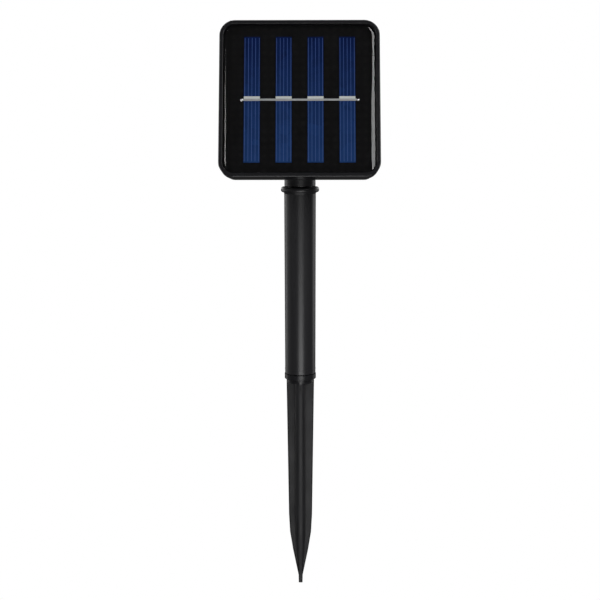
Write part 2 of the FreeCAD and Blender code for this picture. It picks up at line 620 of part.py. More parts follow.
def make_tilt_bolt():
    """A pan-head bolt along X through the ears and the tongue, with a slot in its head."""
    body = new_head_body("tilt_bolt")
    shank = side_sketch(body, "-(washer_face + nut_height + bolt_tail)")
    pad(circle(shank, "bolt_diameter"), "2 * washer_face + nut_height + bolt_tail")
    pad(circle(side_sketch(body, "washer_face"), "bolt_head_diameter"), "bolt_head_height")
    outer = value("washer_face + bolt_head_height")
    fillet(body, "bolt_head_height / 2", rings_of(value("bolt_head_diameter") / 2, 0, outer))
    drive = side_sketch(body, "washer_face + bolt_head_height / 2")
    pocket(rectangle(drive, "drive_length", "drive_width"), "bolt_head_height", backwards=True)
    return body


def make_tilt_nut():
    """A hexagon nut on the bolt's other end."""
    body = new_head_body("tilt_nut")
    nut = side_sketch(body, "-(washer_face + nut_height)")
    corners = [(f"nut_width / 2 / cos(30) * cos({60 * i})", f"nut_width / 2 / cos(30) * sin({60 * i})")
               for i in range(6)]
    pad(outline(nut, corners), "nut_height")
    hole = side_sketch(body, "-(washer_face + nut_height)")
    pocket(circle(hole, "bolt_diameter"), "nut_height", backwards=True)
    return body


def make_tilt_washers():
    """Two plain washers, one on each ear."""
    body = new_head_body("tilt_washers")
    pad(circle(side_sketch(body, "ear_reach"), "washer_diameter"), "washer_thickness")
    other = circle(side_sketch(body, "-washer_face"), "washer_diameter")
    pad(other, "washer_thickness")
    hole = side_sketch(body, "0")
    pocket(circle(hole, "bolt_diameter"), "2 * washer_face + washer_thickness", middle=True)
    return body


# ---- solar panel ------------------------------------------------------------------------------------

def make_front_case():
    """A square tray with a rim round the panel, a floor behind it and four screw bosses."""
    body = new_head_body("front_case")
    shell = face_sketch(body, "0", z="face_middle")
    rounded_rectangle(shell, "head_width", "head_height", "head_corner")
    slab(shell, "front_depth", taper="-front_taper")
    fillet(body, "rim_round", in_plane(1, value("face_y")))
    inner = ("head_width - 2 * rim_width", "head_height - 2 * rim_width", "head_corner - rim_width")
    sink(rounded_rectangle(face_sketch(body, "0", z="face_middle"), *inner), "recess_depth")
    back = face_sketch(body, "floor_back", z="face_middle")
    sink(rounded_rectangle(back, *inner), "front_depth - floor_back")
    bosses = face_sketch(body, "recess_depth", z="face_middle")
    slab(each_screw(bosses, "screw_boss_diameter"), "boss_meet - recess_depth")
    holes = face_sketch(body, "boss_meet - screw_bite", z="face_middle")
    sink(each_screw(holes, "screw_diameter"), "screw_bite")
    slot = face_sketch(body, "recess_depth", "wire_slot_x", "wire_slot_rise")
    sink(rectangle(slot, "wire_slot_width", "wire_slot_height"), "floor_thickness")
    return body


def make_panel_board():
    """The black board that carries the cells, in the tray's recess."""
    body = new_head_body("panel_board")
    face = face_sketch(body, "board_front", z="face_middle")
    inset = "(2 * rim_width + 2 * board_gap)"
    rounded_rectangle(face, f"head_width - {inset}", f"head_height - {inset}",
                      "head_corner - rim_width - board_gap")
    slab(face, "board_thickness")
    return body


def strip_x(index):
    """Middle of a cell strip, across the head, counted from the left."""
    return f"({index - 1.5}) * cell_pitch"


def make_cell_strip(index):
    """One narrow silicon cell, cut from a wafer."""
    body = new_head_body(f"cell_strip_{index + 1}")
    face = face_sketch(body, "cell_front", strip_x(index), "cells_z")
    slab(rectangle(face, "cell_width", "cell_length"), "cell_thickness")
    return body


def make_cell_busbars():
    """The printed silver bar across each cell strip: four separate solids."""
    body = new_head_body("cell_busbars")
    for index in range(4):
        face = face_sketch(body, "bus_front", strip_x(index), "bus_z")
        slab(rectangle(face, "cell_width", "bus_height"), "bus_thickness")
    return body


def make_cell_ribbon():
    """The tinned ribbon that joins the four bus bars."""
    body = new_head_body("cell_ribbon")
    face = face_sketch(body, "ribbon_front", z="ribbon_z")
    slab(rectangle(face, "ribbon_length", "ribbon_height"), "ribbon_thickness")
    return body


JOINT_ENDS = [f"{side}(ribbon_length / 2 + joint_length / 2)" for side in ("-", "")]


def make_ribbon_joints():
    """A solder joint on the board at each end of the ribbon."""
    body = new_head_body("ribbon_joints")
    for x in JOINT_ENDS:
        face = face_sketch(body, "board_front - joint_height", x, "ribbon_z")
        slab(rectangle(face, "joint_length", "joint_width"), "joint_height")
    return body


def make_resin_cover():
    """Clear resin cast over the cells: it fills the tray to just under the rim."""
    body = new_head_body("resin_cover")
    face = face_sketch(body, "resin_recess", z="face_middle")
    rounded_rectangle(face, "head_width - 2 * rim_width", "head_height - 2 * rim_width",
                      "head_corner - rim_width")
    slab(face, "resin_depth")
    fillet(body, "resin_round", in_plane(1, value("face_y + resin_recess")))
    for index in range(4):
        cell = face_sketch(body, "cell_front", strip_x(index), "cells_z")
        sink(rectangle(cell, "cell_width", "cell_length"), "cell_thickness")
        bus = face_sketch(body, "bus_front", strip_x(index), "bus_z")
        sink(rectangle(bus, "cell_width", "bus_height"), "board_front - bus_front")
    ribbon = face_sketch(body, "ribbon_front", z="ribbon_z")
    sink(rectangle(ribbon, "ribbon_length", "ribbon_height"), "board_front - ribbon_front")
    for x in JOINT_ENDS:
        joint = face_sketch(body, "board_front - joint_height", x, "ribbon_z")
        sink(rectangle(joint, "joint_length", "joint_width"), "joint_height")
    return body


# ---- rear case --------------------------------------------------------------------------------------

def make_rear_case():
    """A drafted cover with a round bulge for the battery, ears for the tilt bolt and button holes."""
    body = new_head_body("rear_case")
    shell = face_sketch(body, "front_depth", z="face_middle")
    rounded_rectangle(shell, "head_width - 2 * rear_inset", "head_height - 2 * rear_inset",
                      "head_corner - rear_inset")
    slab(shell, "case_depth - front_depth", taper="-rear_taper")
    fillet(body, "rear_round", in_plane(1, value("face_y + case_depth")))
    bulge = side_sketch(body, "0", "wall_inner", "battery_z")
    round_end(bulge, "rear_wall / 2", "bay_radius + rear_wall")
    pad(bulge, "bay_length + 2 * rear_wall", middle=True)
    side = value("bay_length / 2 + rear_wall")
    behind = value("face_y + case_depth")

    def bulge_end(edge):
        ends = in_plane(0, side)(edge) or in_plane(0, -side)(edge)
        return ends and edge.CenterOfMass.y > behind + 1
    fillet(body, "bay_round", bulge_end)
    ears = side_sketch(body)
    round_end(ears, "pivot_setback + rear_wall / 2", "knuckle_radius")
    pad(ears, "2 * ear_reach", middle=True)

    cavity = face_sketch(body, "front_depth", z="face_middle")
    inset = "(2 * rear_inset + 2 * rear_wall)"
    rounded_rectangle(cavity, f"head_width - {inset}", f"head_height - {inset}",
                      "head_corner - rear_inset - rear_wall")
    sink(cavity, "wall_inner - front_depth", taper="-rear_taper")
    bay = side_sketch(body, "0", "wall_inner", "battery_z")
    pocket(circle(bay, "2 * bay_radius"), "bay_length", middle=True)
    between = side_sketch(body)
    slot = "(knuckle_radius + tongue_room)"
    outline(between, [(f"-{slot}", f"-{slot}"), (slot, f"-{slot}"), (slot, slot), (f"-{slot}", slot)])
    pocket(between, "tongue_thickness + 2 * side_gap", middle=True)
    pocket(circle(side_sketch(body), "bolt_diameter"), "2 * washer_face", middle=True)
    add_screw_pillars(body)
    add_board_posts(body)
    add_button_holes(body)
    hole = face_sketch(body, "wall_inner", "gland_x", "-button_drop")
    sink(circle(hole, "gland_waist_diameter"), "rear_wall")
    return body


def add_screw_pillars(body):
    """Pillars that meet the front case's bosses, with counterbored holes from the back."""
    pillars = face_sketch(body, "boss_meet", z="face_middle")
    slab(each_screw(pillars, "screw_boss_diameter"), "wall_inner + rear_wall / 2 - boss_meet")
    holes = face_sketch(body, "boss_meet", z="face_middle")
    sink(each_screw(holes, "screw_clear_diameter"), "case_depth - boss_meet")
    seats = face_sketch(body, "screw_seat", z="face_middle")
    sink(each_screw(seats, "counterbore_diameter"), "screw_sink")


POSTS = [("-(power_button_x + mode_button_x) / 2", "left_post_rise"), ("-right_post_x", "-right_post_drop")]


def add_board_posts(body):
    """Two posts that hold the control board."""
    posts = face_sketch(body, "pcb_back")
    for x, z in POSTS:
        circle(posts, "post_diameter", x, z)
    slab(posts, "post_length + rear_wall / 2")
    holes = face_sketch(body, "pcb_back")
    for x, z in POSTS:
        circle(holes, "post_hole", x, z)
    sink(holes, "post_screw_bite")


def add_button_holes(body):
    """A hole with a low guard ring for each button."""
    rings = face_sketch(body, "case_depth - rear_wall / 2")
    for x in ("-power_button_x", "-mode_button_x"):
        circle(rings, "button_diameter + 2 * button_gap + 2 * guard_width", x, "-button_drop")
    slab(rings, "rear_wall / 2 + guard_height")
    holes = face_sketch(body, "wall_inner")
    for x in ("-power_button_x", "-mode_button_x"):
        circle(holes, "button_diameter + 2 * button_gap", x, "-button_drop")
    sink(holes, "rear_wall + guard_height")


def make_case_gasket():
    """A rubber ring in the corner of the skirt, under the rear case's edge."""
    body = new_head_body("case_gasket")
    inset = "(2 * rim_width + 2 * gasket_gap)"
    ring = face_sketch(body, "floor_back", z="face_middle")
    rounded_rectangle(ring, f"head_width - {inset}", f"head_height - {inset}",
                      "head_corner - rim_width - gasket_gap")
    slab(ring, "front_depth - floor_back")
    inside = face_sketch(body, "floor_back", z="face_middle")
    rounded_rectangle(inside, f"head_width - {inset} - 2 * gasket_width",
                      f"head_height - {inset} - 2 * gasket_width",
                      "head_corner - rim_width - gasket_gap - gasket_width")
    sink(inside, "front_depth - floor_back")
    return body


def make_case_screws():
    """Four self-tapping screws, put in from the back."""
    body = new_head_body("case_screws")
    shanks = face_sketch(body, "boss_meet - screw_bite", z="face_middle")
    slab(each_screw(shanks, "screw_diameter"), "screw_seat - boss_meet + screw_bite")
    heads = face_sketch(body, "screw_seat", z="face_middle")
    slab(each_screw(heads, "screw_head_diameter"), "screw_head_height")
    slots = face_sketch(body, "screw_seat + screw_head_height / 2", z="face_middle")
    sink(each_screw(slots, "screw_drive_diameter"), "screw_head_height / 2")
    return body


# ---- battery ----------------------------------------------------------------------------------------

def battery_sketch(body, x):
    return side_sketch(body, x, "wall_inner", "battery_z")


BAY_END = "bay_length / 2"


def make_battery_cell():
    """A rechargeable AA cell: a steel can with a tip."""
    body = new_head_body("battery_cell")
    tip_end = f"{BAY_END} - plate_thickness"
    can = battery_sketch(body, f"{tip_end} - battery_length")
    pad(circle(can, "battery_diameter - 2 * sleeve_thickness"), "battery_length - tip_height")
    tip = battery_sketch(body, f"{tip_end} - tip_height")
    pad(circle(tip, "tip_diameter"), "tip_height")
    return body


def make_battery_sleeve():
    """The plastic sleeve shrunk round the cell."""
    body = new_head_body("battery_sleeve")
    start = f"{BAY_END} - plate_thickness - battery_length"
    length = "battery_length - tip_height"
    pad(circle(battery_sketch(body, start), "battery_diameter"), length)
    bore = circle(battery_sketch(body, start), "battery_diameter - 2 * sleeve_thickness")
    pocket(bore, length, backwards=True)
    return body


def make_battery_contact(label, start):
    """A flat contact plate at one end of the bay."""
    body = new_head_body(label)
    plate = battery_sketch(body, start)
    pad(rectangle(plate, "plate_width", "plate_height"), "plate_thickness")
    return body


def make_battery_spring():
    """A coil spring between the minus plate and the cell."""
    body = new_head_body("battery_spring")
    radius = "(spring_diameter - spring_wire) / 2"
    start = f"-{BAY_END} + plate_thickness + spring_wire / 2"
    wire = new_sketch(body, "XZ_Plane", start, "battery_z", "-(face_y + wall_inner)")
    circle(wire, "spring_wire", y=radius)
    coil = body.newObject("PartDesign::AdditiveHelix", "battery_spring_coil")
    coil.Profile = wire
    coil.ReferenceAxis = (wire, ["H_Axis"])
    coil.Mode = "height-turns-growth"
    bind(coil, "Height", "spring_room - spring_wire")
    bind(coil, "Turns", "spring_turns")
    body.Tip = coil
    return body


# ---- control board and buttons ------------------------------------------------------------------------

def make_control_board():
    """The charging and flashing circuit's board, screwed to the posts."""
    body = new_head_body("control_board")
    face = face_sketch(body, "pcb_back - pcb_thickness")
    outline(face, [("-pcb_left", "-pcb_height / 2"), ("pcb_right", "-pcb_height / 2"),
                   ("pcb_right", "pcb_height / 2"), ("-pcb_left", "pcb_height / 2")])
    slab(face, "pcb_thickness")
    holes = face_sketch(body, "pcb_back - pcb_thickness")
    for x, z in POSTS:
        circle(holes, "post_hole", x, z)
    sink(holes, "pcb_thickness")
    return body


def make_board_screws():
    """Two small screws through the board into the posts."""
    body = new_head_body("board_screws")
    shanks = face_sketch(body, "pcb_back - pcb_thickness")
    heads = face_sketch(body, "pcb_back - pcb_thickness - post_screw_head_height")
    for x, z in POSTS:
        circle(shanks, "post_hole", x, z)
        circle(heads, "post_screw_head", x, z)
    slab(heads, "post_screw_head_height")
    slab(shanks, "pcb_thickness + post_screw_bite")
    return body


def make_controller_chip():
    """The chip that charges the cell and flashes the lights."""
    body = new_head_body("controller_chip")
    face = face_sketch(body, "pcb_back", "chip_x", "chip_rise")
    slab(rectangle(face, "chip_width", "chip_height"), "chip_depth")
    return body


def make_board_can(label, x, z, diameter, length):
    """A round component that lies on the back of the board, along X."""
    body = new_head_body(label)
    end = side_sketch(body, x, f"pcb_back + {diameter} / 2", z)
    pad(circle(end, diameter), length)
    return body


def make_switch(label, x):
    """A push switch with a hole for its plunger."""
    body = new_head_body(label)
    face = face_sketch(body, "pcb_back", f"-{x}", "-button_drop")
    slab(rectangle(face, "switch_width", "switch_width"), "switch_height")
    hollow = "plunger_sunk + plunger_room"
    hole = face_sketch(body, f"switch_top - ({hollow})", f"-{x}", "-button_drop")
    sink(circle(hole, "plunger_diameter + 2 * plunger_gap"), hollow)
    return body


def make_plunger(label, x):
    """The switch's plunger, which moves with its button."""
    body = new_head_body(label)
    face = face_sketch(body, "switch_top - plunger_sunk", f"-{x}", "-button_drop")
    slab(circle(face, "plunger_diameter"), "plunger_sunk + plunger_proud")
    return body


def make_button(label, x):
    """A soft cap with a flange that keeps it in the case."""
    body = new_head_body(label)
    flange = face_sketch(body, "plunger_top", f"-{x}", "-button_drop")
    slab(circle(flange, "button_flange_diameter"), "button_flange_height")
    stem = face_sketch(body, "plunger_top", f"-{x}", "-button_drop")
    slab(circle(stem, "button_diameter"), "case_depth + button_proud - plunger_top")
    crown = value("face_y + case_depth + button_proud")
    fillet(body, "button_round", rings_of(value("button_diameter") / 2, 1, crown))
    return body


def make_cable_gland():
    """A rubber grommet in the back wall, where the light string's cable comes out."""
    body = new_head_body("cable_gland")
    start = "wall_inner - gland_lip_height"
    for diameter, depth, length in (
            ("gland_lip_diameter", start, "gland_lip_height"),
            ("gland_waist_diameter", "wall_inner", "rear_wall"),
            ("gland_flange_diameter", "case_depth", "gland_flange_height"),
            ("gland_nose_diameter", "case_depth + gland_flange_height", "gland_nose_length")):
        slab(circle(face_sketch(body, depth, "gland_x", "-button_drop"), diameter), length)
    bore = face_sketch(body, start, "gland_x", "-button_drop")
    whole = "gland_lip_height + rear_wall + gland_flange_height + gland_nose_length"
    sink(circle(bore, "gland_bore"), whole)
    return body


# ---- leads --------------------------------------------------------------------------------------------

def lead_path(places):
    """Straight runs joined by tangent arcs, each as large as its two runs allow."""
    edges = []
    start = places[0]
    for before, corner, after in zip(places, places[1:], places[2:]):
        back, ahead = before - corner, after - corner
        half_turn = (math.pi - back.getAngle(ahead)) / 2
        tangent = 0.45 * min(back.Length, ahead.Length)
        into = corner + back.normalize() * tangent
        out = corner + ahead.normalize() * tangent
        middle = back + ahead
        radius = tangent / math.tan(half_turn)
        print(f"lead radius {radius:.2f}")
        reach = (radius ** 2 + tangent ** 2) ** 0.5 - radius
        edges.append(Part.LineSegment(start, into).toShape())
        edges.append(Part.Arc(into, corner + middle.normalize() * reach, out).toShape())
        start = out
    edges.append(Part.LineSegment(start, places[-1]).toShape())
    return Part.Wire(edges)


def make_lead(label, points):
    """An insulated lead along points given as x, depth and height above the pivot."""
    places = [V(value(x), value(f"face_y + {depth}"), value(z)) for x, depth, z in points]
    path = lead_path(places)
    radius = value("wire_diameter / 2")
    section = Part.Wire([Part.makeCircle(radius, places[0], places[1] - places[0])])
    lead = DOC.addObject("Part::Feature", label)
    lead.Shape = path.makePipeShell([section], True, False)
    return lean_back(lead)


def make_leads():
    """Two leads from the panel through the slot, and one from each battery contact, to the board."""
    low = "battery_z - plate_height / 2"
    level = "wall_inner - panel_lead_room"
    halfway = "wall_inner - battery_lead_room"
    plate_x = "(bay_length / 2 - plate_thickness / 2)"
    pad_z = "pcb_height / 2 - lead_edge"
    plus_x = "pcb_right - plus_pad_inset"
    for label, x, end in (
            ("panel_lead_plus", "wire_slot_x - lead_spread / 2", "panel_pad_x"),
            ("panel_lead_minus", "wire_slot_x + lead_spread / 2", "panel_pad_x + lead_spread")):
        make_lead(label, [(x, "recess_depth", "wire_slot_rise"), (x, level, "wire_slot_rise"),
                          (end, level, pad_z), (end, "pcb_back", pad_z)])
    make_lead("battery_lead_minus", [(f"-{plate_x}", halfway, low), (f"-{plate_x}", halfway, pad_z),
                                     (f"-{plate_x}", "pcb_back", pad_z)])
    make_lead("battery_lead_plus", [(plate_x, halfway, low), (plate_x, halfway, "plus_pad_rise"),
                                    (plus_x, halfway, "plus_pad_rise"),
                                    (plus_x, "pcb_back", "plus_pad_rise")])


def make_everything():
    make_ground_stake()
    make_pole_tube()
    make_neck_socket()
    make_tilt_bolt()
    make_tilt_nut()
    make_tilt_washers()
    make_front_case()
    make_panel_board()
    for index in range(4):
        make_cell_strip(index)
    make_cell_busbars()
    make_cell_ribbon()
    make_ribbon_joints()
    make_resin_cover()
    make_rear_case()
    make_case_gasket()
    make_case_screws()
    make_battery_cell()
    make_battery_sleeve()
    make_battery_contact("battery_plus_plate", f"{BAY_END} - plate_thickness")
    make_battery_contact("battery_minus_plate", f"-{BAY_END}")
    make_battery_spring()
    make_control_board()
    make_board_screws()
    make_controller_chip()
    make_board_can("filter_capacitor", "-capacitor_x", "capacitor_rise", "capacitor_diameter",
                   "capacitor_length")
    make_board_can("boost_inductor", "inductor_x", "-inductor_drop", "inductor_diameter",
                   "inductor_length")
    for name, x in (("power", "power_button_x"), ("mode", "mode_button_x")):
        make_switch(f"{name}_switch", x)
        make_plunger(f"{name}_switch_plunger", x)
        make_button(f"{name}_button", x)
    make_cable_gland()
    make_leads()


def write_parts():
    """Check every object and every shape, then write one file per piece."""
    DOC.recompute()
    for thing in DOC.Objects:
        if {"Invalid", "Error"} & set(thing.State):
            raise ValueError(f"{thing.Label} did not compute: {thing.State}")
    pieces = [thing for thing in DOC.Objects if thing.TypeId in ("PartDesign::Body", "Part::Feature")]
    for piece in pieces:
        if piece.Shape.isNull() or not piece.Shape.isValid():
            raise ValueError(f"{piece.Label} has no valid shape")
    os.makedirs("parts", exist_ok=True)
    for piece in pieces:
        piece.Shape.exportStep(f"parts/{piece.Label}.step")
    print(f"{len(pieces)} pieces written")


make_sheet("Sizes", SIZES)
make_sheet("Derived", DERIVED)
make_everything()
write_parts()
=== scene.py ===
"""The solar panel head of a light string, on its pole and ground stake.

Metres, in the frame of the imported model.
"""

import json
import math

import bmesh
import bpy
from mathutils import Matrix, Quaternion, Vector, noise


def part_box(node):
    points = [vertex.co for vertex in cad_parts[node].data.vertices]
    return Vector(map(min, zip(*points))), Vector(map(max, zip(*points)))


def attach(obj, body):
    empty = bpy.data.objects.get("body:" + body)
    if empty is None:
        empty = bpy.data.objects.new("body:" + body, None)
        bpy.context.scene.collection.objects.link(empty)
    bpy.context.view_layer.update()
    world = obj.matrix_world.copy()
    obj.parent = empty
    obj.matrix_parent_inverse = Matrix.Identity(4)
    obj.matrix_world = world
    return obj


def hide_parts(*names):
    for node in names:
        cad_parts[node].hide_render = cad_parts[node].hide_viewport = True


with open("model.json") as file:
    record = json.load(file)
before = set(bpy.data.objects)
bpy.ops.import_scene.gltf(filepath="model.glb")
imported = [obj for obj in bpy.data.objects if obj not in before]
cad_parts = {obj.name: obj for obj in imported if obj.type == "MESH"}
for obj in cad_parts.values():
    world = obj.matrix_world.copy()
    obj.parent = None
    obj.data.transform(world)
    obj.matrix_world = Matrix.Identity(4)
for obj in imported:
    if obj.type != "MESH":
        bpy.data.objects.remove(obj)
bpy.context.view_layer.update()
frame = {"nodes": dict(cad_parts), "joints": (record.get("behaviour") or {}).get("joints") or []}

MM = 0.001


# ---- camera and studio ------------------------------------------------------------------------------
# A short telephoto lens stands half a metre in front of the pole, a little above its middle, and looks
# slightly down. The stake belongs in the ground, so the whole part is shown standing free.

camera_distance = 543.7 * MM
camera_aim = Vector((-0.08, 0, 33.75)) * MM
camera_pitch = math.radians(9.01)
camera_orbit = math.radians(0.4)
camera_roll = math.radians(-0.1)
lens_length = 76.85

camera_data = bpy.data.cameras.new("camera")
camera_data.lens = lens_length
camera_data.clip_start = 10 * MM
camera_data.clip_end = 20
camera = bpy.data.objects.new("camera", camera_data)
bpy.context.collection.objects.link(camera)
level_share = math.cos(camera_pitch)
sight = Vector((-math.sin(camera_orbit) * level_share,
                math.cos(camera_orbit) * level_share,
                -math.sin(camera_pitch)))
camera.location = camera_aim - camera_distance * sight
camera.rotation_mode = "QUATERNION"
camera.rotation_quaternion = sight.to_track_quat("-Z", "Y") @ Quaternion((0, 0, 1), camera_roll)
bpy.context.scene.camera = camera
bpy.context.scene.view_settings.view_transform = "Standard"


def linear(colour):
    """A six-digit sRGB hex colour as linear red, green, blue and a full alpha."""
    parts = [int(colour[i:i + 2], 16) / 255 for i in (1, 3, 5)]
    return [p / 12.92 if p <= 0.04045 else ((p + 0.055) / 1.055) ** 2.4 for p in parts] + [1]


def add(tree, kind, sockets, **settings):
    """Adds a node with its settings. A socket takes a value, an output, or a node's first output in use."""
    node = tree.nodes.new("ShaderNode" + kind)
    for name, value in settings.items():
        setattr(node, name, value)
    for name, value in sockets.items():
        if isinstance(name, int):
            socket = node.inputs[name]
        else:
            socket = next(s for s in node.inputs if s.enabled and s.name == name)
        if isinstance(value, bpy.types.Node):
            value = next(s for s in value.outputs if s.enabled)
        if isinstance(value, bpy.types.NodeSocket):
            tree.links.new(value, socket)
        else:
            socket.default_value = value
    return node


def empty_material(name):
    """A new material with nothing in it yet, and its node tree."""
    made = bpy.data.materials.new(name)
    made.use_nodes = True
    made.node_tree.nodes.clear()
    return made, made.node_tree


# White seamless paper under and all round the part, far enough away to lose every shadow. It glows an
# even white of its own, so it shows as plain white and sends no light back to the part.
paper_radius = 3.0
paper_floor = -0.45
paper_bend = 1.2
paper_top = 3.0
paper_crown = 1.0
paper_turns = 64
bend_steps = 12

paper, tree = empty_material("lit_white_paper")
glow = add(tree, "Emission", {"Color": linear("#ffffff"), "Strength": 1.0})
add(tree, "OutputMaterial", {"Surface": glow})

profile = [(0, paper_floor)]
for step in range(bend_steps + 1):
    angle = math.radians(90 * step / bend_steps)
    profile.append((paper_radius - paper_bend + paper_bend * math.sin(angle),
                    paper_floor + paper_bend - paper_bend * math.cos(angle)))
profile.append((paper_radius, paper_top))
profile.append((0, paper_top + paper_crown))
bm = bmesh.new()
line = [bm.verts.new((r, 0, z)) for r, z in profile]
edges = [bm.edges.new(pair) for pair in zip(line, line[1:])]
bmesh.ops.spin(bm, geom=line + edges, axis=(0, 0, 1), cent=(0, 0, 0), angle=math.tau, steps=paper_turns,
               use_merge=True)
bmesh.ops.remove_doubles(bm, verts=bm.verts, dist=1 * MM)
mesh = bpy.data.meshes.new("paper_floor")
bm.to_mesh(mesh)
bm.free()
mesh.materials.append(paper)
floor = bpy.data.objects.new("paper_floor", mesh)
bpy.context.collection.objects.link(floor)
floor.visible_diffuse = False
floor.visible_glossy = False
floor.visible_transmission = False
floor.visible_shadow = False

# Softboxes: their direction from the part in degrees, azimuth from the front to the right and height
# above level, their distance, width, height and radiance. Paper white has a radiance of 1.
softboxes = {
    "front_card": (6, -22, 1.1, 0.60, 0.32, 5.2),
    "table_glow": (0, -58, 0.8, 0.7, 0.4, 0.9),
    "high_right": (38, 52, 0.9, 0.34, 0.22, 5.0),
    "high_left": (-38, 52, 0.9, 0.24, 0.16, 4.0),
    "right_box": (46, 30, 0.9, 0.55, 0.50, 4.6),
    "left_box": (-60, 22, 0.9, 0.47, 0.36, 4.0),
    "right_rear_strip": (124, 4, 1.2, 0.65, 0.9, 0.8),
    "left_rear_strip": (-124, 4, 1.2, 0.65, 0.9, 1.0),
    "left_side_strip": (-92, 4, 1.2, 0.5, 0.9, 0.3),
    "back_right_box": (152, 12, 1.1, 0.42, 0.5, 2.0),
    "back_left_box": (-152, 12, 1.1, 0.42, 0.5, 2.6),
    "top_box": (180, 68, 1.2, 0.9, 0.6, 0.6),
}
lit_point = Vector((0, 0, 60 * MM))
for name, (azimuth, height, distance, wide, tall, radiance) in softboxes.items():
    turn, rise = math.radians(azimuth), math.radians(height)
    toward = Vector((math.sin(turn) * math.cos(rise), -math.cos(turn) * math.cos(rise), math.sin(rise)))
    lamp = bpy.data.lights.new(name, "AREA")
    lamp.shape = "RECTANGLE"
    lamp.size = wide
    lamp.size_y = tall
    lamp.energy = radiance * math.pi * wide * tall
    box = bpy.data.objects.new(name, lamp)
    bpy.context.collection.objects.link(box)
    box.location = lit_point + distance * toward
    box.rotation_mode = "QUATERNION"
    box.rotation_quaternion = toward.to_track_quat("Z", "Y")
    box.visible_camera = False

room = bpy.data.worlds.new("dim_studio")
room.use_nodes = True
room.node_tree.nodes["Background"].inputs["Color"].default_value = linear("#ffffff")
room.node_tree.nodes["Background"].inputs["Strength"].default_value = 0.035
bpy.context.scene.world = room


# ---- ground stake -----------------------------------------------------------------------------------
# One injection moulding in black ABS: a flange, a boss, and two crossed blades that taper to a stub.
# Its spigot is a push fit up the pole. The tool was lightly blasted, so it shines softly, not sharply.


def moulded(name, colour, shade, roughness, grain, depth, cloud=14 * MM, polished_above=None, shine=0.5):
    """A plastic moulding: pigment and gloss drift over a few millimetres, over a fine grain from the tool.

    Above a given height the tool was polished, which halves the roughness there. The shine is how
    strongly the surface mirrors, with 0.5 for plain plastic.
    """
    made, tree = empty_material(name)
    place = add(tree, "TexCoord", {}).outputs["Object"]
    drift = add(tree, "TexNoise", {"Vector": place, "Scale": 1 / cloud, "Detail": 3.0, "Roughness": 0.55})
    pigment = add(tree, "Mix", {"Factor": drift, "A": linear(colour), "B": linear(shade)},
                  data_type="RGBA")
    gloss = add(tree, "MapRange", {"Value": drift, "From Min": 0.3, "From Max": 0.7,
                                   "To Min": roughness * 0.85, "To Max": roughness * 1.15})
    if polished_above is not None:
        height = add(tree, "SeparateXYZ", {"Vector": place}).outputs["Z"]
        polish = add(tree, "MapRange", {"Value": height, "From Min": polished_above - 1 * MM,
                                        "From Max": polished_above, "To Min": 1.0, "To Max": 0.5})
        gloss = add(tree, "Math", {0: gloss, 1: polish}, operation="MULTIPLY")
    skin = add(tree, "TexNoise", {"Vector": place, "Scale": 1 / grain, "Detail": 2.0, "Roughness": 0.6})
    bump = add(tree, "Bump", {"Height": skin, "Distance": depth, "Strength": 1.0})
    shader = add(tree, "BsdfPrincipled", {"Base Color": pigment, "IOR": 1.53, "Specular IOR Level": shine,
                                          "Roughness": gloss, "Normal": bump})
    add(tree, "OutputMaterial", {"Surface": shader})
    return made


def dress(made, *nodes):
    """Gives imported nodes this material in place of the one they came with."""
    for node in nodes:
        frame["nodes"][node].data.materials.clear()
        frame["nodes"][node].data.materials.append(made)


blasted_abs = moulded("blasted_moulded_abs", "#18181a", "#202022", roughness=0.52, grain=0.35 * MM,
                      depth=0.006 * MM, polished_above=-1.5 * MM, shine=0.33)
dress(blasted_abs, "ground_stake")


# ---- pole -------------------------------------------------------------------------------------------
# A black ABS tube, moulded on a core, with a bead near its foot and a rounded collar at its top. The
# polished core and long flow along the tube leave a satin skin with faint lines down its length.

drawn_abs, tree = empty_material("satin_drawn_abs")
line_pitch = 0.45 * MM
line_length = 60 * MM
speck_size = 0.3 * MM
place = add(tree, "TexCoord", {}).outputs["Object"]
along = add(tree, "Mapping", {"Vector": place, "Scale": (1 / line_pitch, 1 / line_pitch, 1 / line_length)})
flow = add(tree, "TexNoise", {"Vector": along, "Scale": 1.0, "Detail": 2.0})
speck = add(tree, "TexNoise", {"Vector": place, "Scale": 1 / speck_size, "Detail": 2.0})
pigment = add(tree, "Mix", {"Factor": flow, "A": linear("#1e1e20"), "B": linear("#262628")},
              data_type="RGBA")
gloss = add(tree, "MapRange", {"Value": flow, "To Min": 0.29, "To Max": 0.33})
lines = add(tree, "Bump", {"Height": flow, "Distance": 0.001 * MM, "Strength": 1.0})
skin = add(tree, "Bump", {"Height": speck, "Distance": 0.003 * MM, "Strength": 1.0,
                          "Normal": lines})
shader = add(tree, "BsdfPrincipled", {"Base Color": pigment, "IOR": 1.53,
                                      "Roughness": gloss,
                                      "Normal": skin})
add(tree, "OutputMaterial", {"Surface": shader})
dress(drawn_abs, "pole_tube")


# ---- neck and tilt joint ----------------------------------------------------------------------------
# The neck is a black ABS moulding that turns on the pole's spigot. Its tongue stands between the ears of
# the rear case, on a zinc-plated M3 bolt with two washers and a nut.


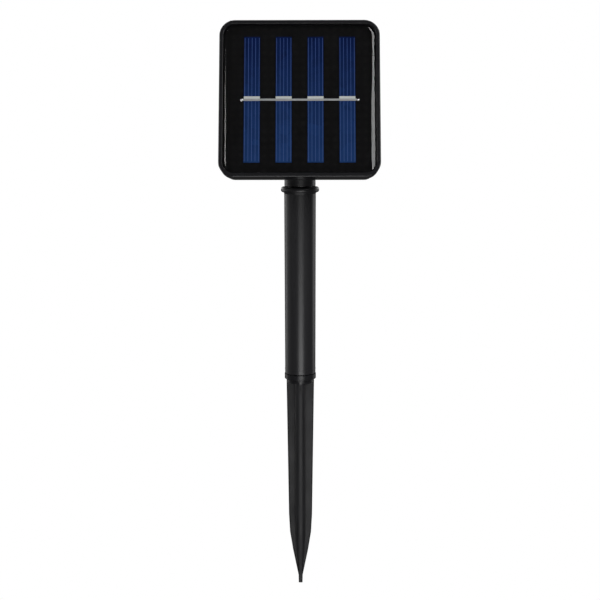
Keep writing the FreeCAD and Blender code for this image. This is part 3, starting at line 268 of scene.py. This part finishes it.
def softened(name, node, body, made, radius, sharp=30):
    """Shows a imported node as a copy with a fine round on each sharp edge, as a moulding tool leaves it.

    The normals are weighted by area, so that each flat face still mirrors as a flat one.
    """
    weld = 0.001 * MM
    flat = math.radians(0.5)
    bm = bmesh.new()
    bm.from_mesh(frame["nodes"][node].data)
    bmesh.ops.remove_doubles(bm, verts=bm.verts, dist=weld)
    bmesh.ops.dissolve_limit(bm, angle_limit=flat, verts=bm.verts, edges=bm.edges)
    corners = [e for e in bm.edges if e.is_manifold and e.calc_face_angle() > math.radians(sharp)]
    bmesh.ops.bevel(bm, geom=corners, offset=radius, offset_type="OFFSET", segments=3, profile=0.5,
                    affect="EDGES", clamp_overlap=False)
    mesh = bpy.data.meshes.new(name)
    bm.to_mesh(mesh)
    bm.free()
    mesh.materials.append(made)
    mesh.shade_smooth()
    mesh.set_sharp_from_angle(angle=math.radians(sharp))
    piece = bpy.data.objects.new(name, mesh)
    bpy.context.collection.objects.link(piece)
    piece.modifiers.new("flat_faces_stay_flat", "WEIGHTED_NORMAL").keep_sharp = True
    shaded = piece.evaluated_get(bpy.context.evaluated_depsgraph_get())
    piece.data = bpy.data.meshes.new_from_object(shaded)
    piece.modifiers.clear()
    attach(piece, body)
    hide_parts(node)


neck_abs = moulded("satin_moulded_abs", "#1e1e20", "#272729", roughness=0.3, grain=0.3 * MM,
                   depth=0.004 * MM)
softened("moulded_neck", "neck_socket", "neck", neck_abs, 0.2 * MM)


def plated(name, colour, tarnish, roughness, grain, metallic=1.0):
    """Plated metal: a bright grey with fine crystals of zinc or nickel and cloudy patches."""
    made, tree = empty_material(name)
    place = add(tree, "TexCoord", {}).outputs["Object"]
    cloud = add(tree, "TexNoise", {"Vector": place, "Scale": 1 / (2.5 * MM), "Detail": 4.0})
    tone = add(tree, "Mix", {"Factor": cloud, "A": linear(colour), "B": linear(tarnish)},
               data_type="RGBA")
    gloss = add(tree, "MapRange", {"Value": cloud, "To Min": roughness * 0.7,
                                   "To Max": roughness * 1.3})
    crystals = add(tree, "TexVoronoi", {"Vector": place, "Scale": 1 / grain})
    bump = add(tree, "Bump", {"Height": crystals, "Distance": 0.002 * MM,
                              "Strength": 0.6})
    shader = add(tree, "BsdfPrincipled", {"Base Color": tone, "Metallic": metallic,
                                          "Roughness": gloss,
                                          "Normal": bump})
    add(tree, "OutputMaterial", {"Surface": shader})
    return made


zinc = plated("bright_zinc_plated_steel", "#c9ccd0", "#a9acaf", roughness=0.28, grain=0.12 * MM)
dress(zinc, "tilt_bolt", "tilt_nut", "tilt_washers", "case_screws", "board_screws")


# ---- front case -------------------------------------------------------------------------------------
# A shallow black ABS tray from a polished tool, so its rim mirrors the room. Its rim stands round the
# panel, and its floor and bosses carry the board and the rear case.

gloss_abs = moulded("polished_moulded_abs", "#1a1a1c", "#1e1e20", roughness=0.14, grain=2.2 * MM,
                    depth=0.0015 * MM)
softened("moulded_front_case", "front_case", "head", gloss_abs, 0.12 * MM)


# ---- head frame -------------------------------------------------------------------------------------
# The head leans back on its bolt. Its own axes are x across, y into the head and z up its face, from the
# tilt pivot, and the pieces on the panel are set out in them.

joints = {joint["name"]: joint for joint in frame["joints"]}
forward = Vector(joints["power_button_press"]["axis"]).normalized()
across = Vector((1, 0, 0))
upward = across.cross(-forward)
from_head = Matrix((across, -forward, upward)).transposed().to_4x4()
from_head.translation = Vector(joints["head_tilt"]["pos_m"])
to_head = from_head.inverted()


def head_box(node):
    """A node's lowest and highest corners in the head's own axes."""
    corners = [to_head @ v.co for v in frame["nodes"][node].data.vertices]
    return Vector(map(min, zip(*corners))), Vector(map(max, zip(*corners)))


def head_piece(name, bm, slot, *materials):
    """Makes a piece that was drawn in the head's own axes, rides it on the head and shades it smooth."""
    bmesh.ops.recalc_face_normals(bm, faces=bm.faces)
    mesh = bpy.data.meshes.new(name)
    bm.to_mesh(mesh)
    bm.free()
    mesh.transform(from_head)
    for made in materials:
        mesh.materials.append(made)
    piece = bpy.data.objects.new(name, mesh)
    bpy.context.collection.objects.link(piece)
    mesh.shade_smooth()
    mesh.set_sharp_from_angle(angle=math.radians(35))
    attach(piece, "head")
    return piece


def block(bm, low, high):
    """Adds a plain block between two corners, for a printed layer."""
    low = Vector(low)
    high = Vector(high)
    fit = Matrix.Translation((low + high) / 2) @ Matrix.Diagonal((*(high - low), 1))
    bmesh.ops.create_cube(bm, size=1, matrix=fit)


# ---- panel board ------------------------------------------------------------------------------------
# A glass-epoxy board under black solder mask. The mask is dull and swallows nearly all light, with the
# weave of the glass just to be felt through it.

weave_pitch = 0.5 * MM
bands_per_metre = 1 / (20 * weave_pitch)
black_mask, tree = empty_material("black_solder_mask")
place = add(tree, "TexCoord", {}).outputs["Object"]
warp = add(tree, "TexWave", {"Vector": place, "Scale": bands_per_metre, "Distortion": 0.4},
           bands_direction="X")
weft = add(tree, "TexWave", {"Vector": place, "Scale": bands_per_metre, "Distortion": 0.4},
           bands_direction="Z")
cloth = add(tree, "Math", {0: warp, 1: weft}, operation="MULTIPLY")
tone = add(tree, "Mix", {"Factor": cloth, "A": linear("#0f0f10"), "B": linear("#131313")},
           data_type="RGBA")
bump = add(tree, "Bump", {"Height": cloth, "Distance": 0.01 * MM, "Strength": 0.5})
shader = add(tree, "BsdfPrincipled", {"Base Color": tone, "Roughness": 0.6,
                                      "Specular IOR Level": 0.0, "Normal": bump})
add(tree, "OutputMaterial", {"Surface": shader})
dress(black_mask, "panel_board")


# ---- cell strips ------------------------------------------------------------------------------------
# Four strips of blue polycrystalline silicon, diced from a wafer. The nitride coating gives the blue,
# and the crystals, a few millimetres wide, each take it a little differently. The blue is also painted
# darker from the foot of each strip to its top: painted shade standing in for light from below.

crystal = 3.5 * MM
edge_bend = 2 * MM
edge_bend_size = 4 * MM
silicon, tree = empty_material("coated_polycrystalline_silicon")
place = add(tree, "TexCoord", {}).outputs["Object"]
bent = add(tree, "TexNoise", {"Vector": place, "Scale": 1 / edge_bend_size, "Detail": 2.0})
shifted = add(tree, "VectorMath", {0: bent.outputs["Color"], 1: (edge_bend,) * 3, 2: place},
              operation="MULTIPLY_ADD")
grains = add(tree, "TexVoronoi", {"Vector": shifted, "Scale": 1 / crystal, "Randomness": 1.0})
grey = add(tree, "RGBToBW", {"Color": grains.outputs["Color"]})
# Painted shade: a lighter blue at the foot of each strip fades into a darker blue at its top.
height = add(tree, "SeparateXYZ", {"Vector": place}).outputs["Z"]
strip_low, strip_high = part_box("cell_strip_1")
painted_shade_rise = add(tree, "MapRange", {"Value": height, "From Min": strip_low[2], "From Max": strip_high[2]})
lit_foot_blue = add(tree, "Mix", {"Factor": grey, "A": linear("#19325c"), "B": linear("#1f3b6a")},
            data_type="RGBA")
shaded_top_blue = add(tree, "Mix", {"Factor": grey, "A": linear("#041238"), "B": linear("#061844")},
           data_type="RGBA")
blue = add(tree, "Mix", {"Factor": painted_shade_rise, "A": lit_foot_blue, "B": shaded_top_blue}, data_type="RGBA")
gloss = add(tree, "MapRange", {"Value": grey, "To Min": 0.35, "To Max": 0.5})
shader = add(tree, "BsdfPrincipled", {"Base Color": blue, "Specular IOR Level": 0.0,
                                      "Roughness": gloss})
add(tree, "OutputMaterial", {"Surface": shader})
strips = [f"cell_strip_{i}" for i in range(1, 5)]
dress(silicon, *strips)


# ---- printed fingers and bus bars -------------------------------------------------------------------
# Silver paste, screen printed and fired: five hair lines down each strip gather the current, and a wide
# bar across its middle takes the ribbon. Fired paste is a dull cream grey. The lines are drawn as wide
# as they need to show.

finger_count = 5
finger_pitch = 1.44 * MM
finger_width = 0.17 * MM
finger_height = 0.02 * MM
finger_margin = 0.5 * MM

paste, tree = empty_material("fired_silver_paste")
place = add(tree, "TexCoord", {}).outputs["Object"]
grit = add(tree, "TexNoise", {"Vector": place, "Scale": 1 / (0.25 * MM), "Detail": 3.0})
tone = add(tree, "Mix", {"Factor": grit, "A": linear("#b4b8b6"), "B": linear("#cacecb")},
           data_type="RGBA")
bump = add(tree, "Bump", {"Height": grit, "Distance": 0.01 * MM, "Strength": 0.6})
shader = add(tree, "BsdfPrincipled", {"Base Color": tone, "Metallic": 0.15,
                                      "Roughness": 0.55, "Normal": bump})
add(tree, "OutputMaterial", {"Surface": shader})
dress(paste, "cell_busbars")

thin_paste, tree = empty_material("fired_silver_hair_lines")
place = add(tree, "TexCoord", {}).outputs["Object"]
grit = add(tree, "TexNoise", {"Vector": place, "Scale": 1 / (3 * MM), "Detail": 3.0})
tone = add(tree, "Mix", {"Factor": grit, "A": linear("#394f85"), "B": linear("#435a93")},
           data_type="RGBA")
shader = add(tree, "BsdfPrincipled", {"Base Color": tone, "Roughness": 0.5,
                                      "Specular IOR Level": 0.0})
add(tree, "OutputMaterial", {"Surface": shader})

bus_low, bus_high = head_box("cell_busbars")
for strip in strips:
    low, high = head_box(strip)
    middle = (low.x + high.x) / 2
    bm = bmesh.new()
    for k in range(finger_count):
        x = middle + (k - (finger_count - 1) / 2) * finger_pitch
        for bottom, top in ((low.z + finger_margin, bus_low.z), (bus_high.z, high.z - finger_margin)):
            block(bm, (x - finger_width / 2, low.y - finger_height, bottom),
                  (x + finger_width / 2, low.y, top))
    head_piece(f"{strip}_fingers", bm, "silver_print", thin_paste)


# ---- ribbon and solder ------------------------------------------------------------------------------
# A tinned copper ribbon, laid across the bus bars by hand and soldered down, so it waves a little and
# its tin is uneven. A round blob of solder at each end joins the wires that come through the board.

tinned = plated("hot_tinned_copper", "#a8aaaa", "#8e9091", roughness=0.5, grain=0.3 * MM, metallic=0.3)
solder = plated("bright_tin_solder", "#e2e3e4", "#c2c4c5", roughness=0.2, grain=0.5 * MM)

low, high = head_box("cell_ribbon")
ribbon_steps = 120
ribbon_sides = 16
ribbon_wave = 0.05 * MM
ribbon_fill = 0.97
edge_squareness = 0.35
face_squareness = 0.6
half_wide = (high.z - low.z) / 2
half_thick = (high.y - low.y) / 2 - ribbon_wave / 2
turns = [math.tau * k / ribbon_sides for k in range(ribbon_sides)]
section = [(math.cos(turn), math.sin(turn)) for turn in turns]
bm = bmesh.new()
previous = None
for step in range(ribbon_steps + 1):
    x = low.x + (high.x - low.x) * step / ribbon_steps
    sway = noise.noise(Vector((x / (5 * MM), 0.3, 0.7))) * ribbon_wave / 2
    lift = noise.noise(Vector((x / (3 * MM), 7.1, 0.2))) * ribbon_wave / 2
    ring = []
    for c, s in section:
        out = math.copysign(abs(c) ** edge_squareness, c)
        back = math.copysign(abs(s) ** face_squareness, s)
        z = (low.z + high.z) / 2 + sway + half_wide * ribbon_fill * out
        y = (low.y + high.y) / 2 + lift + half_thick * back
        ring.append(bm.verts.new((x, y, z)))
    if previous:
        for k in range(ribbon_sides):
            bm.faces.new((previous[k], previous[k - 1], ring[k - 1], ring[k]))
    else:
        bm.faces.new(ring)
    previous = ring
bm.faces.new(previous[::-1])
ribbon = head_piece("tinned_ribbon", bm, "tinned_copper", tinned)
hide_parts("cell_ribbon")

joint_low, joint_high = head_box("ribbon_joints")
bm = bmesh.new()
blob_size = Vector((1.5, 0.5, 1.4)) * MM
right_share = 0.8
blob_sink = 0.02 * MM
blob_fill = 0.96
blob_wobble = 0.06
joint_z = (joint_low.z + joint_high.z) / 2
for side in (-1, 1):
    edge = joint_low.x if side < 0 else joint_high.x
    size = blob_size * (1.0 if side < 0 else right_share)
    centre = Vector((edge - side * size.x / 2, joint_high.y - blob_sink, joint_z))
    ball = bmesh.ops.create_uvsphere(bm, u_segments=32, v_segments=16, radius=0.5)
    for v in ball["verts"]:
        wobble = 1 + blob_wobble * noise.noise(v.co * 3 + Vector((side, 0, 0)))
        bulge = min(v.co.y, 0) * 2 * size.y * blob_fill
        v.co = centre + Vector((v.co.x * size.x, bulge, v.co.z * size.z)) * wobble
bmesh.ops.remove_doubles(bm, verts=bm.verts, dist=0.0005 * MM)
blobs = head_piece("solder_blobs", bm, "solder", solder)
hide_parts("ribbon_joints")


# ---- clear resin ------------------------------------------------------------------------------------
# Two-part clear epoxy, poured over the panel and left to level. It stands a little below the rim, flat
# over the cells, and rolls off towards the wall, which is where it catches the side lights.

curl_width = 2.7 * MM
curl_depth = 0.8 * MM
left_depth = 1.1 * MM
left_share = 0.6
curl_power = 2.1
low_curl = 0.18
high_curl = 0.35
curl_drift = 0.42
curl_uneven = 0.22
long_wave = 17 * MM
short_wave = 6 * MM
short_share = 0.4
flank_power = 9
bond_gap = 0.01 * MM
rings = 18
ring_reach = 1.25
ring_crowding = 1.5
corner_steps = 14
side_steps = 30

low, high = head_box("resin_cover")
board_low, board_high = head_box("panel_board")
half = (high.x - low.x) / 2
resin_middle = (low.z + high.z) / 2
resin_corner = 4.8 * MM


def rounded_square(inset):
    """Points round the resin at this inset from its wall, from the foot of its top-right corner."""
    reach = half - resin_corner
    radius = resin_corner - inset
    points = []
    for quarter in range(4):
        turn = math.pi / 2 * quarter
        right = 1 if quarter in (0, 3) else -1
        top = 1 if quarter in (0, 1) else -1
        centre = Vector((reach * right, 0, reach * top))
        arc = []
        for step in range(corner_steps + 1):
            a = turn + math.pi / 2 * step / corner_steps
            arc.append(centre + radius * Vector((math.cos(a), 0, math.sin(a))))
        points += arc
        ahead = turn + math.pi / 2
        stretch = 2 * reach * Vector((math.cos(ahead + math.pi / 2), 0, math.sin(ahead + math.pi / 2)))
        points += [arc[-1] + stretch * step / side_steps for step in range(1, side_steps)]
    return [p + Vector((0, 0, resin_middle)) for p in points]


bm = bmesh.new()
wall_line = rounded_square(0)
loops = [[bm.verts.new((p.x, board_low.y - bond_gap, p.z)) for p in wall_line]]
for ring in range(rings + 1):
    inset = curl_width * ring_reach * (ring / rings) ** ring_crowding
    loop = []
    for p, wall in zip(rounded_square(inset), wall_line):
        uneven = noise.noise(wall / long_wave) + short_share * noise.noise(wall / short_wave)
        rise = (wall.z - resin_middle) / half
        flank = min(1, abs(wall.x) / half) ** flank_power
        level = low_curl if rise < 0 else high_curl
        share = left_share if wall.x < 0 else 1
        width = curl_width * share * (1 + curl_uneven * uneven - curl_drift * rise)
        depth = (left_depth if wall.x < 0 else curl_depth) * (level + (1 - level) * flank)
        fall = depth * max(0, 1 - inset / width) ** curl_power
        loop.append(bm.verts.new((p.x, low.y + fall, p.z)))
    loops.append(loop)
bonded = [bm.faces.new(loops[0])]
for below, above in zip(loops, loops[1:]):
    made = [bm.faces.new((below[k - 1], below[k], above[k], above[k - 1])) for k in range(len(below))]
    if below is loops[0]:
        bonded += made
bm.faces.new(loops[-1][::-1])
for face in bonded:
    face.material_index = 1

poured, tree = empty_material("poured_clear_epoxy")
place = add(tree, "TexCoord", {}).outputs["Object"]
ripple = add(tree, "TexNoise", {"Vector": place, "Scale": 1 / (9 * MM), "Detail": 1.0})
level = add(tree, "Bump", {"Height": ripple, "Distance": 0.06 * MM, "Strength": 1.0})
facing = add(tree, "LayerWeight", {"Blend": 0.5, "Normal": level})
grazing = add(tree, "Math", {0: facing.outputs["Facing"], 1: 5.0}, operation="POWER")
mirrored = add(tree, "MapRange", {"Value": grazing, "To Min": 0.045, "To Max": 1.0})
clear = add(tree, "BsdfTransparent", {"Color": linear("#ffffff")})
shine = add(tree, "BsdfAnisotropic", {"Color": linear("#ffffff"), "Roughness": 0.04, "Normal": level})
mixed = add(tree, "MixShader", {"Fac": mirrored, 1: clear, 2: shine})
add(tree, "OutputMaterial", {"Surface": mixed})

bonded_face, tree = empty_material("epoxy_bond_line")
clear = add(tree, "BsdfTransparent", {"Color": linear("#ffffff")})
add(tree, "OutputMaterial", {"Surface": clear})
resin = head_piece("poured_resin", bm, "clear_resin", poured, bonded_face)
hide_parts("resin_cover")


# ---- rear case --------------------------------------------------------------------------------------
# The back cover, in black ABS from a spark-eroded tool. The eroded skin is dull and faintly gritty, and
# a bulge holds the battery, with two ears for the tilt bolt below it.

spark_abs = moulded("spark_textured_abs", "#1f1f21", "#262628", roughness=0.46, grain=0.18 * MM,
                    depth=0.02 * MM)
softened("moulded_rear_case", "rear_case", "head", spark_abs, 0.15 * MM)


# ---- rubber parts -----------------------------------------------------------------------------------
# Two soft buttons, the cable grommet and the gasket, pressed in black silicone rubber. Rubber is dull,
# with a trace of talc from the press.

rubber, tree = empty_material("pressed_silicone_rubber")
place = add(tree, "TexCoord", {}).outputs["Object"]
talc = add(tree, "TexNoise", {"Vector": place, "Scale": 1 / (1.2 * MM), "Detail": 5.0, "Roughness": 0.7})
tone = add(tree, "Mix", {"Factor": talc, "A": linear("#171718"), "B": linear("#2a2a2b")},
           data_type="RGBA")
bump = add(tree, "Bump", {"Height": talc, "Distance": 0.01 * MM, "Strength": 1.0})
shader = add(tree, "BsdfPrincipled", {"Base Color": tone, "Roughness": 0.7,
                                      "Sheen Weight": 0.15, "Sheen Roughness": 0.5,
                                      "Normal": bump})
add(tree, "OutputMaterial", {"Surface": shader})
dress(rubber, "power_button", "mode_button", "cable_gland", "case_gasket")


# ---- battery and its contacts -----------------------------------------------------------------------
# A rechargeable AA cell: a nickel-plated steel can in a green shrunk sleeve. Spring and plates are
# nickel-plated steel.

nickel = plated("nickel_plated_steel", "#d0cdc6", "#b3b0a9", roughness=0.22, grain=0.2 * MM)
dress(nickel, "battery_cell", "battery_plus_plate", "battery_minus_plate", "battery_spring")
sleeve = moulded("shrunk_pvc_sleeve", "#1f7a3a", "#23863f", roughness=0.2, grain=1.5 * MM, depth=0.01 * MM)
dress(sleeve, "battery_sleeve")


# ---- control board ----------------------------------------------------------------------------------
# A small glass-epoxy board under green solder mask, with tracks just to be seen through it. It carries
# the controller, a sleeved capacitor, a dipped inductor and two push switches.

track_pitch = 1.0 * MM
green_mask, tree = empty_material("green_solder_mask")
place = add(tree, "TexCoord", {}).outputs["Object"]
tracks = add(tree, "TexBrick", {"Vector": place, "Scale": 1 / track_pitch, "Mortar Size": 0.12,
                                "Brick Width": 3.0, "Row Height": 1.0, "Color1": linear("#0e4d24"),
                                "Color2": linear("#10552a"), "Mortar": linear("#1a6a37")})
bump = add(tree, "Bump", {"Height": tracks.outputs["Fac"], "Distance": 0.03 * MM, "Strength": 1.0})
shader = add(tree, "BsdfPrincipled", {"Base Color": tracks, "Roughness": 0.25,
                                      "Normal": bump})
add(tree, "OutputMaterial", {"Surface": shader})
dress(green_mask, "control_board")
dress(moulded("moulded_epoxy_package", "#1c1c1d", "#232324", roughness=0.5, grain=0.1 * MM,
              depth=0.005 * MM), "controller_chip")
dress(moulded("blue_pvc_sleeve", "#232a78", "#2a3186", roughness=0.22, grain=1 * MM, depth=0.005 * MM),
      "filter_capacitor")
dress(moulded("dipped_green_lacquer", "#3f7a52", "#47875b", roughness=0.3, grain=0.8 * MM,
              depth=0.02 * MM), "boost_inductor")
dress(moulded("moulded_nylon_black", "#202020", "#29292a", roughness=0.45, grain=0.2 * MM,
              depth=0.005 * MM), "power_switch", "mode_switch")
dress(moulded("moulded_acetal_white", "#dcdcd6", "#e4e4df", roughness=0.35, grain=0.3 * MM,
              depth=0.003 * MM), "power_switch_plunger", "mode_switch_plunger")


# ---- leads ------------------------------------------------------------------------------------------
# Stranded wire in soft PVC, red for plus and black for minus, from the panel and the battery to the
# control board.

dress(moulded("red_soft_pvc", "#a3141a", "#b01a20", roughness=0.35, grain=0.6 * MM, depth=0.01 * MM),
      "panel_lead_plus", "battery_lead_plus")
dress(moulded("black_soft_pvc", "#161617", "#1d1d1e", roughness=0.35, grain=0.6 * MM, depth=0.01 * MM),
      "panel_lead_minus", "battery_lead_minus")
